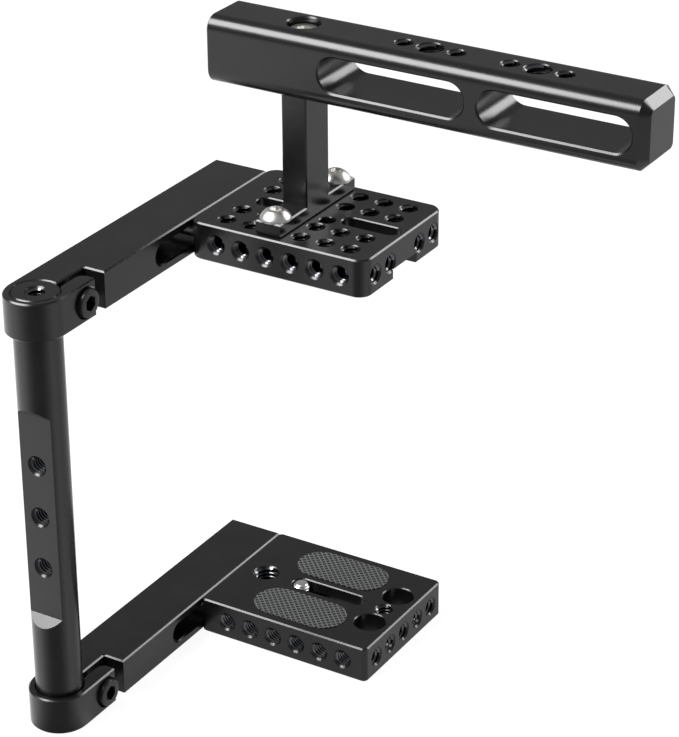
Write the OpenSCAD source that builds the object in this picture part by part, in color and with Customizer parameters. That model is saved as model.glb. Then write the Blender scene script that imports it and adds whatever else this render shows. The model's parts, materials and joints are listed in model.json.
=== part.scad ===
// A camera cage: a side rod, two clamped arms, a top plate with a grip handle, and a base plate.
// The origin is on the rod's axis at the underside. +X runs along the arms, -Y is the front, +Z is up.
// All lengths are in millimetres.

/* [Rod] */
// Diameter of the side rod
rod_d = 16.8; // [15:0.2:17]
// Length of the side rod, which is also the height of the frame
rod_length = 168; // [140:1:220]
// Depth of the flat below the rod's surface
flat_depth = 3.4; // [2:0.1:4]
// Length of the flat between its two ramps
flat_length = 78.4; // [60:0.2:90]
// Height of the flat's middle above the rod's middle
flat_rise = 0.4; // [0:0.1:10]
// Distance between the tapped holes in the flat
flat_hole_pitch = 20; // [14:1:24]
// Depth of the tapped holes in the flat
flat_hole_depth = 9; // [6:0.5:10]
// Depth of the tapped hole in each end of the rod
rod_hole_depth = 15; // [8:1:24]

/* [Arms] */
// Width of an arm, front to back
arm_width = 22; // [21:0.5:26]
// Height of an arm
arm_height = 14; // [14:0.5:18]
// Distance from the top plate's middle to the upper arm's square end
upper_arm_overhang = 24; // [21.5:0.5:45]
// Distance from the base plate's middle to the lower arm's square end
lower_arm_overhang = 27.75; // [21.5:0.25:45]
// Distance from the rod's axis to the near end of the upper arm's slot
upper_slot_start = 53.8; // [32:0.1:60]
// Distance from the rod's axis to the near end of the lower arm's slot
lower_slot_start = 55.5; // [32:0.1:60]
// Wall between an arm's slot and its square end
slot_end_wall = 7.5; // [6.5:0.5:8.5]
// Height of the arm's slot
arm_slot_height = 7.5; // [7:0.25:8]
// Height of the groove behind the slot, in which the plate screws' heads lie
groove_height = 10.8; // [10.4:0.1:11]
// Depth of that groove from the arm's rear face
groove_depth = 4.8; // [4.4:0.1:5]

/* [Clamp] */
// Width of the slit that lets the clamp close
slit_gap = 2.7; // [1.5:0.1:3]
// Distance from the arm's centre line to the slit's outer wall
slit_offset = 5.3; // [4.5:0.1:5.5]
// Distance from the rod's axis to the end of the clamp's cheek
cheek_end = 18; // [17:0.5:20]
// Width of the notch beyond the cheek
notch_width = 5.5; // [3:0.5:8]
// Radius on the inner corner of the cheek's end
cheek_round = 3; // [1:0.5:4]
// Distance from the rod's axis to the clamp screw's axis
clamp_screw_x = 13; // [12.5:0.25:14]
// Thread diameter of the clamp screw and the handle screw
cap_thread_d = 6; // [5:0.5:6]
// Head diameter of the clamp screw and the handle screw
cap_head_d = 10; // [8.5:0.5:11]
// Head height of the clamp screw and the handle screw
cap_head_h = 6; // [5:0.5:6]
// Size of the hex socket across its flats, clamp screw and handle screw
cap_hex = 5; // [4:0.5:5]
// Depth of the hex socket in a cap screw
cap_hex_depth = 3; // [2:0.5:3.5]
// Diameter of a clearance hole for the clamp screw or the handle screw
cap_clear_d = 6.4; // [6.2:0.1:6.8]
// Distance that the clamp screw's head stands out of the arm
clamp_head_proud = 1.7; // [1:0.1:2.5]
// Space all round a cap screw's head in its recess
recess_gap = 0.9; // [0.3:0.1:1.2]
// Length of the clamp screw's thread below its head
clamp_screw_length = 12.5; // [9:0.5:14]

/* [Tapped holes] */
// Bore of the upright 1/4 inch holes, at the thread's major diameter
quarter_d = 6.35; // [6.3:0.05:6.6]
// Bore of the 1/4 inch holes in side faces, a little less so that they open cleanly into upright ones
quarter_side_d = 6.2; // [5.8:0.05:6.25]
// Bore of the 3/8 inch holes, at the thread's major diameter
three_eighths_d = 9.525; // [9:0.025:10]
// Chamfer at the mouth of a hole in an upper or lower face
mouth_chamfer = 0.35; // [0.2:0.05:0.6]
// Chamfer at the mouth of a hole in a side face, a rod end or the flat
side_mouth_chamfer = 0.7; // [0.3:0.05:0.8]

/* [Top plate] */
// Size of the top plate along the arms
top_width = 55; // [53:0.5:60]
// Size of the top plate from front to back
top_depth = 71.5; // [71:0.5:80]
// Thickness of the top plate and of the base plate
plate_t = 14; // [13:0.5:14]
// Distance from the rod's axis to the middle of the top plate
top_centre_x = 101; // [90:0.5:120]
// Radius of the top plate's upright corners
top_corner_r = 5; // [2:0.5:6]
// Distance between neighbouring holes in both plates
hole_pitch = 10; // [9.5:0.25:10]
// Distance from a plate's rear face to its first holes
hole_inset = 11.5; // [11:0.5:13]
// Width of the channel under the top plate
channel_width = 16.5; // [14:0.5:18]
// Depth of the channel under the top plate
channel_depth = 4; // [2:0.5:5]
// Width of the two slots on the top plate's centre line
top_slot_width = 6.8; // [6:0.1:7.5]
// Length of each slot on the centre line
top_slot_length = 22.7; // [18:0.1:23]
// Distance from the rear face to the rear slot
rear_slot_inset = 11.4; // [10:0.1:13]
// Wall between the front slot and the front face
front_slot_wall = 2.3; // [2:0.1:4]
// Diameter of the plain hole between the slots
plain_hole_d = 5.7; // [4:0.1:6]
// Distance from the centre line to the plain hole
plain_hole_offset = 3.2; // [0:0.1:4]
// Distance from the rear face to the plain hole
plain_hole_inset = 42.1; // [41:0.1:42.5]

/* [Base plate] */
// Size of the base plate along the arms
base_width = 56; // [55:0.5:60]
// Size of the base plate from front to back
base_depth = 71.5; // [71:0.5:80]
// Distance from the rod's axis to the middle of the base plate
base_centre_x = 101.75; // [90:0.25:120]
// Radius of the base plate's upright corners
base_corner_r = 2; // [1:0.5:4]
// Depth of the blind holes in the base plate's side faces
side_hole_depth = 8; // [6:0.5:8.5]
// Distance from the rear face to the 3/8 inch hole
three_eighths_inset = 11.5; // [11:0.5:12]
// Diameter of the two plain bores near the front
plain_bore_d = 11.7; // [10:0.1:12]
// Distance from the centre line to each plain bore
plain_bore_offset = 10.4; // [10:0.1:11.5]
// Distance from the front face to the row with the plain bores
bore_row_inset = 8.5; // [8:0.25:9]
// Width of the camera screw's slot
camera_slot_width = 7; // [6.5:0.1:7.5]
// Length of the camera screw's slot
camera_slot_length = 30.5; // [20:0.5:30.5]
// Distance from the rear face to the camera screw's slot
camera_slot_inset = 23.5; // [22:0.5:24]
// Width of the pocket under the slot
pocket_width = 16; // [15.5:0.5:16]
// Depth of the pocket under the slot
pocket_depth = 9.5; // [8:0.5:10]

/* [Camera screw] */
// Thread diameter of the camera screw
camera_thread_d = 6; // [5.8:0.1:6.3]
// Head diameter of the camera screw
camera_head_d = 14; // [12:0.5:14.5]
// Head height of the camera screw
camera_head_h = 3.5; // [3:0.25:4]
// Height of the camera screw's tip above the base plate, as it lies in its slot
camera_tip_proud = 0.2; // [0:0.1:2]
// Thickness of the washer on the camera screw's head
camera_washer_t = 1.2; // [0.8:0.1:2]
// Width of the slot for a coin in the camera screw's head
coin_slot_width = 1.6; // [1:0.1:2]

/* [Pads] */
// Width of a rubber pad
pad_width = 18; // [14:0.5:18]
// Length of a rubber pad
pad_length = 37.5; // [30:0.5:38]
// Distance from the centre line to the middle of a pad
pad_offset = 15.4; // [14:0.1:15.5]
// Distance from the rear face to the middle of a pad
pad_inset = 36; // [35:0.5:36]
// Thickness of a pad
pad_t = 1.2; // [0.8:0.1:2]
// Height of a pad above the base plate
pad_proud = 0.25; // [0:0.05:0.5]

/* [Handle] */
// Width of the grip
grip_width = 24; // [22:0.5:28]
// Height of the grip
grip_height = 24.2; // [22:0.1:26]
// Length of the grip
grip_length = 165.8; // [163:0.2:180]
// Radius along the grip's long edges
grip_edge_r = 5; // [4:0.5:6]
// Chamfer round the grip's front end
grip_front_chamfer = 3.1; // [1:0.1:3.5]
// Distance from the post's axis to the grip's rear end
grip_overhang = 32; // [28:0.5:33]
// Height of the two finger slots
finger_height = 12.6; // [10:0.1:13]
// Length of each finger slot
finger_length = 55.6; // [50:0.1:56]
// Wall between the front finger slot and the grip's front end
finger_end_wall = 5.2; // [5:0.1:8]
// Web between the two finger slots
finger_web = 5; // [4:0.5:7]
// Chamfer at the mouth of a finger slot
finger_chamfer = 0.6; // [0.2:0.1:1]
// Distance from the post's axis to the first 3/8 inch hole in the grip
grip_hole_start = 49; // [44:0.2:50]
// Distance between the two 3/8 inch holes in the grip
grip_hole_spacing = 40; // [36:0.2:40]
// Distance from a 3/8 inch hole to the 1/4 inch holes beside it
grip_quarter_offset = 10; // [9:0.25:11]
// Depth of the handle screw's head below the grip's top
handle_screw_sunk = 2; // [0:0.5:4]
// Length of the handle screw's thread in the post
handle_screw_grip = 12; // [8:1:14]

/* [Post] */
// Height of the gap between the top plate and the grip
post_height = 45.3; // [40:0.1:60]
// Width of the post along the arms
post_width = 15; // [12:0.5:18]
// Depth of the post and its foot from front to back
post_depth = 10; // [9:0.5:10]
// Distance from a foot screw's axis to the foot's end
foot_end = 5; // [4.5:0.5:7]
// Thickness of the foot
foot_t = 5; // [4:0.5:6]
// Diameter of a clearance hole for a 1/4 inch screw
quarter_clear_d = 6.6; // [6.5:0.1:7]
// Length of a foot screw's thread below its head
foot_screw_length = 14; // [10:0.5:16]

/* [Button-head screws] */
// Head diameter of a button-head screw
button_head_d = 11.2; // [9.5:0.1:12]
// Head height of a button-head screw
button_head_h = 3.6; // [3:0.1:4]
// Height of the straight rim under the dome
button_rim = 0.7; // [0.3:0.1:1]
// Size of the hex socket in a button-head screw across its flats
button_hex = 4; // [3:0.25:4.5]
// Depth of the hex socket in a button-head screw
button_hex_depth = 2; // [1:0.25:2.5]
// Thread diameter of a plate screw, and of the holes in the plates' rear faces
plate_thread_d = 5; // [4.5:0.1:5.2]
// Head diameter of a plate screw
plate_head_d = 10; // [9:0.1:10.2]
// Head height of a plate screw
plate_head_h = 4; // [3.5:0.1:4.3]
// Size of the hex socket in a plate screw across its flats
plate_hex = 4; // [3:0.5:4]
// Length of a plate screw's thread inside its plate
plate_screw_grip = 7.8; // [5:0.2:8]

/* [Finish] */
// Chamfer on the outer edges of arms, plates, rod ends and post
edge = 0.5; // [0.3:0.1:0.8]
// Radial space between a shaft and its bore
running_gap = 0.05; // [0.02:0.01:0.1]
// Space between a pad and the wall of its recess
pad_gap = 0.15; // [0.05:0.05:0.3]

/* [Hidden] */
$fn = 48;

// Colours of the real materials
anodised = "#2b2c2e";
stainless = "#cfd0d2";
black_steel = "#1b1b1c";
rubber = "#38393a";
nylon = "#e6e4dc";

// How far a cutting shape runs past the face that it cuts
overrun = 1;
// Depth of a drill's point as a share of the drill's diameter
drill_tip_share = 0.3;
// Tapped holes in the flat, as steps from the middle one
flat_hole_steps = [-1, 0, 1];
// Rows of upright holes in the top plate, as steps from its centre line
row_steps = [-2, -1, 1, 2];
// Holes across the base plate's front face, as steps from its centre line
front_steps = [-2, -1, 0, 1, 2];
// Least distance from a line's last hole to the front face, as a share of the holes' pitch
line_end_share = 0.5;
// Rows that the plate screws use, as steps from the centre line: near the rod, and away from it
inner_step = -2;
outer_step = 1;
// Step along the rows to the holes that hold the foot
foot_step = 2;

// Radii and planes that several pieces share
rod_r = rod_d / 2;
flat_mid_z = rod_length / 2 + flat_rise;
bore_r = rod_r + running_gap;
front_face_y = -arm_width / 2;
rear_face_y = arm_width / 2;
upper_arm_z = rod_length - arm_height;
upper_arm_reach = top_centre_x + upper_arm_overhang;
lower_arm_reach = base_centre_x + lower_arm_overhang;
arm_axis_z = arm_height / 2;
top_plate_z = upper_arm_z + (arm_height - plate_t) / 2;
base_plate_z = (arm_height - plate_t) / 2;
top_face_z = top_plate_z + plate_t;
base_face_z = base_plate_z + plate_t;
inner_hole_y = front_face_y - hole_inset;
post_y = inner_hole_y - foot_step * hole_pitch;
foot_screw_x = -inner_step * hole_pitch;
foot_length = 2 * (foot_screw_x + foot_end);
grip_z = top_face_z + post_height;
grip_top_z = grip_z + grip_height;
grip_axis_z = grip_z + grip_height / 2;
grip_front_y = post_y + grip_overhang - grip_length;
recess_d = cap_head_d + 2 * recess_gap;
clamp_seat_y = front_face_y - clamp_head_proud + cap_head_h;
camera_slot_y = front_face_y - camera_slot_inset;
camera_screw_y = camera_slot_y - camera_slot_width / 2;
camera_head_z = base_face_z + camera_tip_proud - camera_screw_length();
bore_row_y = front_face_y - base_depth + bore_row_inset;
pad_floor_z = base_face_z + pad_proud - pad_t;

// Length of the camera screw: it stands on the ground plane with its tip near the plate's upper face
function camera_screw_length() = arm_height + camera_tip_proud - running_gap;

// Holes along a plate's side, as steps from the first one, as far as the plate's depth has room
function line_steps(depth) = [for (step = [0:floor((depth - hole_inset) / hole_pitch - line_end_share)]) step];

// Diameter of a shank that turns in a bore
function shank_d(bore) = bore - 2 * running_gap;

// Right half of a through cut's section, with a chamfer at both mouths
function cut_points(width, depth, mouth) = [
    [width / 2 + mouth + overrun, -depth - overrun],
    [width / 2, -depth + mouth],
    [width / 2, -mouth],
    [width / 2 + mouth + overrun, overrun]
];

// Left half of the same section
function cut_mirror(points) = [for (i = [len(points) - 1:-1:0]) [-points[i][0], points[i][1]]];

// Section of a bar with chamfered edges, standing on its lower side
module bevel_section(width, height, low, high) {
    polygon([
        [-width / 2 + low, 0], [width / 2 - low, 0], [width / 2, low], [width / 2, height - high],
        [width / 2 - high, height], [-width / 2 + high, height], [-width / 2, height - high],
        [-width / 2, low]
    ]);
}

// Extrusion along X of a section drawn in Y and Z
module along_x(length) {
    rotate([90, 0, 90]) linear_extrude(height = length) children();
}

// Extrusion along Y, about the origin, of a section drawn in X and Z
module along_y(length) {
    rotate([90, 0, 0]) linear_extrude(height = length, center = true) children();
}

// Disc with a chamfer round each rim
module bevel_disc(r, height, low, high) {
    rotate_extrude() polygon([
        [0, 0], [r - low, 0], [r, low], [r, height - high], [r - high, height], [0, height]
    ]);
}

// Slab with rounded upright corners and chamfered edges, standing on z = 0
module rounded_slab(width, depth, height, r, low, high) {
    union() {
        along_y(depth - 2 * r) bevel_section(width, height, low, high);
        translate([r - width / 2, 0, 0])
            along_x(width - 2 * r) bevel_section(depth, height, low, high);
        for (x = [-1, 1], y = [-1, 1])
            translate([x * (width / 2 - r), y * (depth / 2 - r), 0]) bevel_disc(r, height, low, high);
    }
}

// Blind hole down from z = 0, with a chamfered mouth and a drill's point
module blind_hole(d, depth, mouth) {
    rotate_extrude() polygon([
        [0, -depth - d * drill_tip_share], [d / 2, -depth], [d / 2, -mouth],
        [d / 2 + mouth + overrun, overrun], [0, overrun]
    ]);
}

// Flat-ended hole down from z = 0, with a chamfered mouth, for holes that open into a hollow
module open_hole(d, depth, mouth) {
    rotate_extrude() polygon([
        [0, -depth], [d / 2, -depth], [d / 2, -mouth], [d / 2 + mouth + overrun, overrun], [0, overrun]
    ]);
}

// Through hole down from z = 0, with a chamfer at both mouths
module through_hole(d, depth, mouth) {
    rotate_extrude() polygon(concat(
        [[0, -depth - overrun]], cut_points(d, depth, mouth), [[0, overrun]]
    ));
}

// Through slot down from z = 0, along X, with round ends and chamfered mouths
module through_slot(length, width, depth, mouth) {
    run = length - width;
    section = cut_points(width, depth, mouth);
    translate([-run / 2, 0, 0]) along_x(run) polygon(concat(section, cut_mirror(section)));
    for (side = [-1, 1]) translate([side * run / 2, 0, 0]) through_hole(width, depth, mouth);
}

// Plain block along Y with round ends, standing on z = 0
module obround_block(length, width, height) {
    run = length - width;
    translate([-width / 2, -run / 2, 0]) cube([width, run, height]);
    for (side = [-1, 1]) translate([0, side * run / 2, 0]) cylinder(d = width, h = height);
}

// Turn a cut that runs down Z so that it enters a face towards +Y, +X or -X
module from_front() { rotate([90, 0, 0]) children(); }
module from_rear() { rotate([-90, 0, 0]) children(); }
module from_left() { rotate([0, -90, 0]) children(); }
module from_right() { rotate([0, 90, 0]) children(); }

// Hex socket down from z = 0
module hex_socket(across, depth) {
    translate([0, 0, -depth]) cylinder(d = across / cos(30), h = depth + overrun, $fn = 6);
}

// Socket cap screw: its head's seat is at z = 0 and its thread runs down
module cap_screw(length) {
    difference() {
        union() {
            bevel_disc(cap_head_d / 2, cap_head_h, edge / 2, edge);
            translate([0, 0, -length]) bevel_disc(cap_thread_d / 2, length + edge, edge, edge / 2);
        }
        translate([0, 0, cap_head_h]) hex_socket(cap_hex, cap_hex_depth);
    }
}

// Button-head screw: its head's seat is at z = 0 and its thread runs down
module button_screw(thread_d, length) {
    dome = button_head_h - button_rim;
    dome_r = (pow(button_head_d / 2, 2) + pow(dome, 2)) / (2 * dome);
    difference() {
        union() {
            intersection() {
                cylinder(d = button_head_d, h = button_head_h + overrun);
                translate([0, 0, button_head_h - dome_r]) sphere(r = dome_r);
            }
            translate([0, 0, -length]) bevel_disc(thread_d / 2, length + edge, edge, edge / 2);
        }
        translate([0, 0, button_head_h]) hex_socket(button_hex, button_hex_depth);
    }
}

// Flat washer standing on z = 0
module washer(outer_d, inner_d, thickness) {
    difference() {
        cylinder(d = outer_d, h = thickness);
        translate([0, 0, -overrun]) cylinder(d = inner_d, h = thickness + 2 * overrun);
    }
}

// Round rod with a flat on the side away from the arms
module rod() {
    ramp = flat_depth + overrun;
    color(anodised) difference() {
        bevel_disc(rod_r, rod_length, edge, edge);
        translate([-rod_r, 0, flat_mid_z]) along_y(rod_d + 2 * overrun) polygon([
            [flat_depth, -flat_length / 2], [flat_depth, flat_length / 2],
            [-overrun, flat_length / 2 + ramp], [-overrun, -flat_length / 2 - ramp]
        ]);
        for (step = flat_hole_steps)
            translate([flat_depth - rod_r, 0, flat_mid_z + step * flat_hole_pitch])
                from_left() blind_hole(quarter_d, flat_hole_depth, side_mouth_chamfer);
        translate([0, 0, rod_length]) blind_hole(quarter_d, rod_hole_depth, side_mouth_chamfer);
        mirror([0, 0, 1]) blind_hole(quarter_d, rod_hole_depth, side_mouth_chamfer);
    }
}

// Arm with a split ring that clamps the rod and a long slot for the plate's screws
module clamp_arm(z, arm_reach, slot_start) {
    slot_end = arm_reach - slot_end_wall;
    slot_length = slot_end - slot_start;
    color(anodised) translate([0, 0, z]) difference() {
        union() {
            bevel_disc(arm_width / 2, arm_height, edge, edge);
            intersection() {
                along_x(arm_reach) bevel_section(arm_width, arm_height, edge, edge);
                along_y(arm_width) bevel_section(2 * arm_reach, arm_height, edge, edge);
                linear_extrude(height = arm_height) polygon([
                    [0, front_face_y], [arm_reach - edge, front_face_y], [arm_reach, front_face_y + edge],
                    [arm_reach, rear_face_y - edge], [arm_reach - edge, rear_face_y], [0, rear_face_y]
                ]);
            }
        }
        translate([0, 0, arm_height]) through_hole(2 * bore_r, arm_height, edge);
        clamp_cuts();
        translate([(slot_start + slot_end) / 2, 0, arm_axis_z]) {
            translate([0, front_face_y, 0]) from_front()
                through_slot(slot_length, arm_slot_height, arm_width, edge);
            translate([0, rear_face_y - groove_depth, 0]) rotate([-90, 90, 0])
                obround_block(slot_length + groove_height - arm_slot_height, groove_height, groove_depth + overrun);
        }
    }
}

// Slit, notch and screw hole of a clamp
module clamp_cuts() {
    inner_wall_y = slit_gap - slit_offset;
    translate([0, -slit_offset, -overrun])
        cube([cheek_end + notch_width, slit_gap, arm_height + 2 * overrun]);
    translate([cheek_end, front_face_y - overrun, -overrun])
        cube([notch_width, inner_wall_y - front_face_y + overrun, arm_height + 2 * overrun]);
    difference() {
        translate([cheek_end - cheek_round, -slit_offset - cheek_round, -overrun])
            cube([cheek_round + overrun, cheek_round + overrun, arm_height + 2 * overrun]);
        translate([cheek_end - cheek_round, -slit_offset - cheek_round, -2 * overrun])
            cylinder(r = cheek_round, h = arm_height + 4 * overrun);
    }
    for (rim_z = [0, arm_height]) {
        translate([0, inner_wall_y, rim_z]) along_x(cheek_end + notch_width + edge)
            rotate(45) square(edge * sqrt(2), center = true);
        translate([cheek_end + notch_width, (front_face_y + inner_wall_y) / 2, rim_z])
            along_y(inner_wall_y - front_face_y + 2 * edge) rotate(45) square(edge * sqrt(2), center = true);
    }
    mid_slit = slit_gap / 2 - slit_offset - clamp_seat_y;
    translate([clamp_screw_x, clamp_seat_y, arm_axis_z]) from_front() {
        cylinder(d = recess_d, h = cap_head_h + overrun);
        translate([0, 0, -mid_slit]) cylinder(d = cap_clear_d, h = mid_slit + overrun);
        translate([0, 0, -clamp_screw_length - edge])
            cylinder(d = cap_thread_d + 2 * running_gap, h = clamp_screw_length + edge - mid_slit);
    }
}

module lower_arm() { clamp_arm(0, lower_arm_reach, lower_slot_start); }

module upper_arm() { clamp_arm(upper_arm_z, upper_arm_reach, upper_slot_start); }

// Cap screw that closes a clamp, in its recess
module clamp_screw(z) {
    color(black_steel) translate([clamp_screw_x, clamp_seat_y, z + arm_axis_z]) from_front()
        cap_screw(clamp_screw_length);
}

module lower_clamp_screw() { clamp_screw(0); }

module upper_clamp_screw() { clamp_screw(upper_arm_z); }

// Top plate with a field of tapped holes, two slots and a channel underneath
module top_plate() {
    mid_y = front_face_y - top_depth / 2;
    side_depth = top_width / 2 - max(row_steps) * hole_pitch;
    steps = line_steps(top_depth);
    front_depth = top_depth - hole_inset - max(steps) * hole_pitch;
    color(anodised) translate([top_centre_x, 0, top_plate_z]) difference() {
        translate([0, mid_y, 0]) rounded_slab(top_width, top_depth, plate_t, top_corner_r, edge, edge);
        translate([0, mid_y, channel_depth / 2 - overrun / 2])
            cube([channel_width, top_depth + 2 * overrun, channel_depth + overrun], center = true);
        for (row = row_steps, step = steps)
            translate([row * hole_pitch, inner_hole_y - step * hole_pitch, plate_t])
                through_hole(quarter_d, plate_t, mouth_chamfer);
        for (step = steps) translate([0, inner_hole_y - step * hole_pitch, plate_t / 2]) {
            translate([-top_width / 2, 0, 0]) from_left()
                open_hole(quarter_side_d, side_depth, side_mouth_chamfer);
            translate([top_width / 2, 0, 0]) from_right()
                open_hole(quarter_side_d, side_depth, side_mouth_chamfer);
        }
        for (row = row_steps) translate([row * hole_pitch, front_face_y - top_depth, plate_t / 2])
            from_front() open_hole(quarter_side_d, front_depth, side_mouth_chamfer);
        for (row = [inner_step, outer_step]) translate([row * hole_pitch, front_face_y, plate_t / 2])
            from_rear() open_hole(plate_thread_d + 2 * running_gap, hole_inset, mouth_chamfer);
        translate([0, front_face_y - rear_slot_inset - top_slot_length / 2, plate_t]) rotate([0, 0, 90])
            through_slot(top_slot_length, top_slot_width, plate_t, mouth_chamfer);
        translate([0, front_face_y - top_depth + front_slot_wall + top_slot_length / 2, plate_t])
            rotate([0, 0, 90]) through_slot(top_slot_length, top_slot_width, plate_t, mouth_chamfer);
        translate([-plain_hole_offset, front_face_y - plain_hole_inset, plate_t])
            through_hole(plain_hole_d, plate_t, mouth_chamfer);
    }
}

// Base plate with the camera screw's slot, two pad recesses and holes round its edge
module base_plate() {
    mid_y = front_face_y - base_depth / 2;
    slot_mid_y = camera_slot_y - camera_slot_length / 2;
    color(anodised) translate([base_centre_x, 0, base_plate_z]) difference() {
        translate([0, mid_y, 0]) rounded_slab(base_width, base_depth, plate_t, base_corner_r, edge, edge);
        translate([0, slot_mid_y, plate_t]) rotate([0, 0, 90])
            through_slot(camera_slot_length, camera_slot_width, plate_t, mouth_chamfer);
        translate([0, slot_mid_y, -overrun]) obround_block(
            camera_slot_length + pocket_width - camera_slot_width, pocket_width, pocket_depth + overrun);
        for (side = [-1, 1])
            translate([side * pad_offset, front_face_y - pad_inset, pad_floor_z - base_plate_z])
                obround_block(pad_length + 2 * pad_gap, pad_width + 2 * pad_gap, pad_t + overrun);
        translate([0, front_face_y - three_eighths_inset, plate_t])
            through_hole(three_eighths_d, plate_t, mouth_chamfer);
        for (side = [-1, 1]) translate([side * plain_bore_offset, bore_row_y, plate_t])
            through_hole(plain_bore_d, plate_t, mouth_chamfer);
        translate([0, bore_row_y, plate_t]) through_hole(quarter_d, plate_t, mouth_chamfer);
        for (step = line_steps(base_depth)) translate([0, inner_hole_y - step * hole_pitch, plate_t / 2]) {
            translate([-base_width / 2, 0, 0]) from_left()
                blind_hole(quarter_side_d, side_hole_depth, side_mouth_chamfer);
            translate([base_width / 2, 0, 0]) from_right()
                blind_hole(quarter_side_d, side_hole_depth, side_mouth_chamfer);
        }
        for (step = front_steps)
            translate([step * hole_pitch, front_face_y - base_depth, plate_t / 2]) from_front()
                open_hole(quarter_side_d, bore_row_inset, side_mouth_chamfer);
        for (step = [inner_step, outer_step])
            translate([step * hole_pitch, front_face_y, plate_t / 2]) from_rear()
                open_hole(plate_thread_d + 2 * running_gap, plate_screw_grip + overrun, mouth_chamfer);
    }
}

// Screw through an arm's slot into the plate in front of it, with its head in the groove
module plate_screw(x, z) {
    length = arm_width - groove_depth + plate_screw_grip;
    color(stainless) translate([x, rear_face_y - groove_depth, z + arm_axis_z]) from_rear()
        difference() {
            union() {
                bevel_disc(plate_head_d / 2, plate_head_h, edge / 2, edge);
                translate([0, 0, -length]) bevel_disc(plate_thread_d / 2, length + edge, edge, edge / 2);
            }
            translate([0, 0, plate_head_h]) hex_socket(plate_hex, plate_head_h / 2);
        }
}

module top_plate_inner_screw() { plate_screw(top_centre_x + inner_step * hole_pitch, upper_arm_z); }

module top_plate_outer_screw() { plate_screw(top_centre_x + outer_step * hole_pitch, upper_arm_z); }

module base_plate_inner_screw() { plate_screw(base_centre_x + inner_step * hole_pitch, 0); }

module base_plate_outer_screw() { plate_screw(base_centre_x + outer_step * hole_pitch, 0); }

// Rubber pad in its recess, on one side of the centre line
module grip_pad(side) {
    color(rubber) translate([base_centre_x + side * pad_offset, front_face_y - pad_inset, pad_floor_z])
        obround_block(pad_length, pad_width, pad_t);
}

module near_grip_pad() { grip_pad(-1); }

module far_grip_pad() { grip_pad(1); }

// Camera screw, with a slot for a coin in its head, standing in the base plate's slot
module camera_screw() {
    color(stainless) translate([base_centre_x, camera_screw_y, camera_head_z]) difference() {
        union() {
            bevel_disc(camera_head_d / 2, camera_head_h, edge, edge);
            bevel_disc(camera_thread_d / 2, camera_screw_length(), edge, edge);
        }
        translate([-camera_head_d / 2 - overrun, -coin_slot_width / 2, -overrun])
            cube([camera_head_d + 2 * overrun, coin_slot_width, camera_head_h / 2 + overrun]);
    }
}

// Washer that holds the camera screw square in its pocket
module camera_screw_washer() {
    color(nylon) translate([base_centre_x, camera_screw_y, camera_head_z + camera_head_h])
        washer(camera_head_d, camera_thread_d + 2 * running_gap, camera_washer_t);
}

// Post and foot in one piece, between the top plate and the grip
module handle_post() {
    color(anodised) translate([top_centre_x, post_y, top_face_z]) difference() {
        union() {
            translate([-foot_length / 2, 0, 0]) intersection() {
                along_x(foot_length) bevel_section(post_depth, foot_t, edge, edge);
                translate([foot_length / 2, 0, 0])
                    along_y(post_depth) bevel_section(foot_length, foot_t, edge, edge);
            }
            translate([0, 0, edge]) linear_extrude(height = post_height - edge) polygon([
                [edge - post_width / 2, -post_depth / 2], [post_width / 2 - edge, -post_depth / 2],
                [post_width / 2, edge - post_depth / 2], [post_width / 2, post_depth / 2 - edge],
                [post_width / 2 - edge, post_depth / 2], [edge - post_width / 2, post_depth / 2],
                [-post_width / 2, post_depth / 2 - edge], [-post_width / 2, edge - post_depth / 2]
            ]);
        }
        for (side = [-1, 1]) translate([side * foot_screw_x, 0, foot_t])
            through_hole(quarter_clear_d, foot_t, edge / 2);
        translate([0, 0, post_height])
            blind_hole(cap_thread_d + 2 * running_gap, handle_screw_grip + overrun, edge);
    }
}

// Button-head screw through the foot into the top plate
module foot_screw(side) {
    color(stainless) translate([top_centre_x + side * foot_screw_x, post_y, top_face_z + foot_t])
        button_screw(shank_d(quarter_d), foot_screw_length);
}

module near_foot_screw() { foot_screw(-1); }

module far_foot_screw() { foot_screw(1); }

// Grip with two finger slots, tapped holes on top and a recess for its screw
module handle_grip() {
    front_finger_y = grip_front_y + finger_end_wall + finger_length / 2;
    finger_pitch = finger_length + finger_web;
    top_wall = grip_top_z - grip_axis_z;
    color(anodised) difference() {
        translate([top_centre_x, grip_front_y, grip_axis_z]) from_rear()
            rounded_slab(grip_width, grip_height, grip_length, grip_edge_r, grip_front_chamfer, edge);
        for (slot = [0, 1])
            translate([top_centre_x + grip_width / 2, front_finger_y + slot * finger_pitch, grip_axis_z])
                rotate([90, 0, 90])
                    through_slot(finger_length, finger_height, grip_width, finger_chamfer);
        for (hole = [0, 1])
            translate([top_centre_x, post_y - grip_hole_start - hole * grip_hole_spacing, grip_top_z]) {
                open_hole(three_eighths_d, top_wall, mouth_chamfer);
                for (side = [-1, 1]) translate([0, side * grip_quarter_offset, 0])
                    open_hole(quarter_d, top_wall, mouth_chamfer);
            }
        translate([top_centre_x, post_y, grip_top_z]) {
            open_hole(recess_d, handle_screw_sunk + cap_head_h, edge);
            translate([0, 0, -grip_height - overrun])
                cylinder(d = cap_clear_d, h = grip_height);
        }
    }
}

// Cap screw down through the grip into the post
module handle_screw() {
    seat_z = grip_top_z - handle_screw_sunk - cap_head_h;
    color(stainless) translate([top_centre_x, post_y, seat_z])
        cap_screw(seat_z - grip_z + handle_screw_grip);
}

rod();
lower_arm();
upper_arm();
lower_clamp_screw();
upper_clamp_screw();
top_plate();
top_plate_inner_screw();
top_plate_outer_screw();
base_plate();
base_plate_inner_screw();
base_plate_outer_screw();
near_grip_pad();
far_grip_pad();
camera_screw();
camera_screw_washer();
handle_post();
near_foot_screw();
far_foot_screw();
handle_grip();
handle_screw();
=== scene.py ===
"""Looks of a camera cage: black anodised frame parts, steel screws and rubber pads on a white floor."""

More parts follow.
